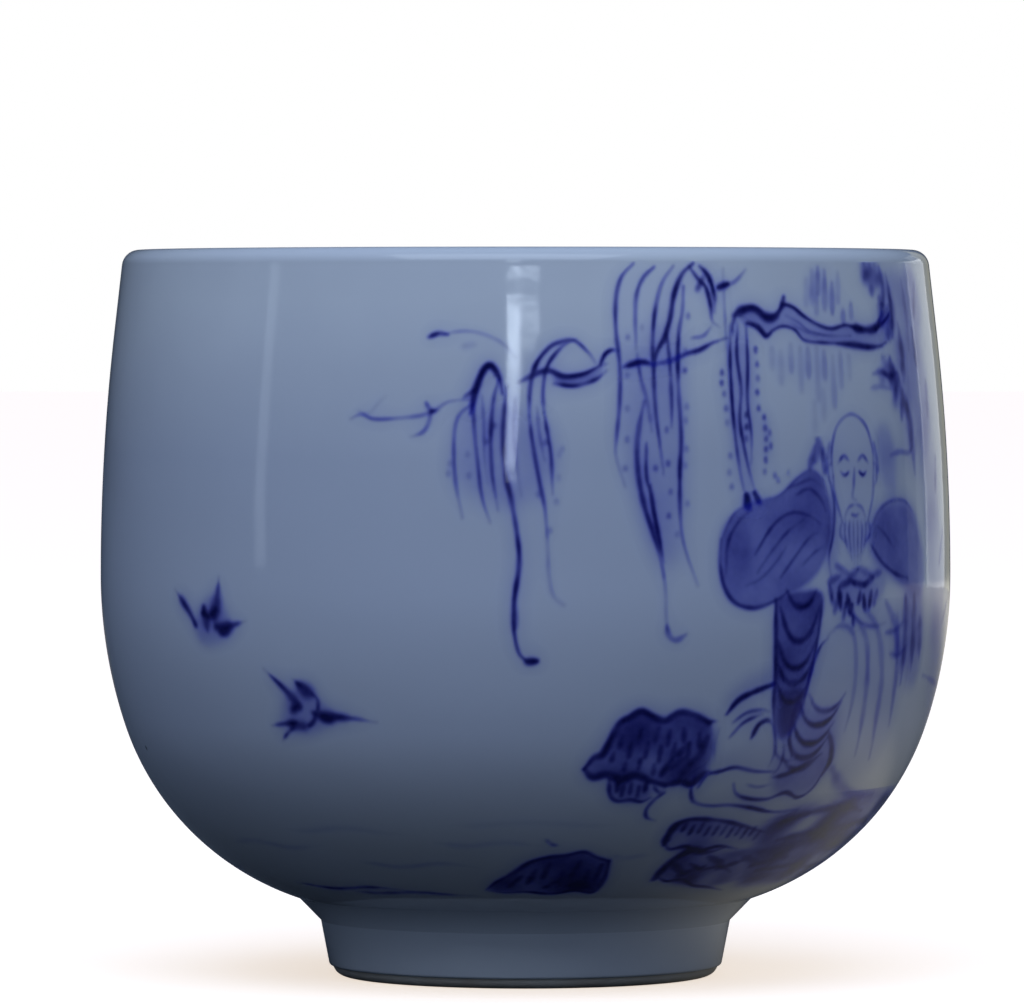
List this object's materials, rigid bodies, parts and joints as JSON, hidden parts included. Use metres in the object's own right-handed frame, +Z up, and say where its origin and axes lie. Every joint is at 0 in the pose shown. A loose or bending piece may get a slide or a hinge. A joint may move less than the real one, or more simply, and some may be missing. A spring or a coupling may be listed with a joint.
{
  "type": "teacup",
  "caption": "Handleless blue-and-white porcelain teacup: a deep rounded bowl on a low foot ring, with a painted willow and riverside sage under a glossy glaze.",
  "frame": {"origin": "centre of the foot ring's tread, on the surface that the cup stands on", "axes": "+Z up along the cup's axis; -Y is the side shown in the picture, with the painted willow to its right (+X)"},
  "size_m": [0.075, 0.075, 0.064],
  "materials": {
    "porcelain": "matt, fine white porcelain, bare at the foot",
    "clear_glaze": "glossy clear glaze with a faint cool blue cast, pooled in the foot's angle",
    "cobalt": "underglaze cobalt, navy in the strokes and violet-blue in the washes, soft at its edges"
  },
  "bodies": {
    "root": {"bowl_body": "porcelain", "foot_ring": "porcelain", "outer_glaze": "clear_glaze", "inner_glaze": "clear_glaze", "base_glaze": "clear_glaze", "willow_bough_paint": "cobalt", "willow_trunk_paint": "cobalt", "willow_strands_left_paint": "cobalt", "willow_strands_middle_paint": "cobalt", "willow_strands_right_paint": "cobalt", "upper_swallow_paint": "cobalt", "lower_swallow_paint": "cobalt", "sage_mantle_paint": "cobalt", "sage_robe_paint": "cobalt", "sage_head_paint": "cobalt", "boulder_paint": "cobalt", "bank_rocks_paint": "cobalt", "shore_stone_paint": "cobalt", "water_lines_paint": "cobalt"}
  },
  "joints": []
}
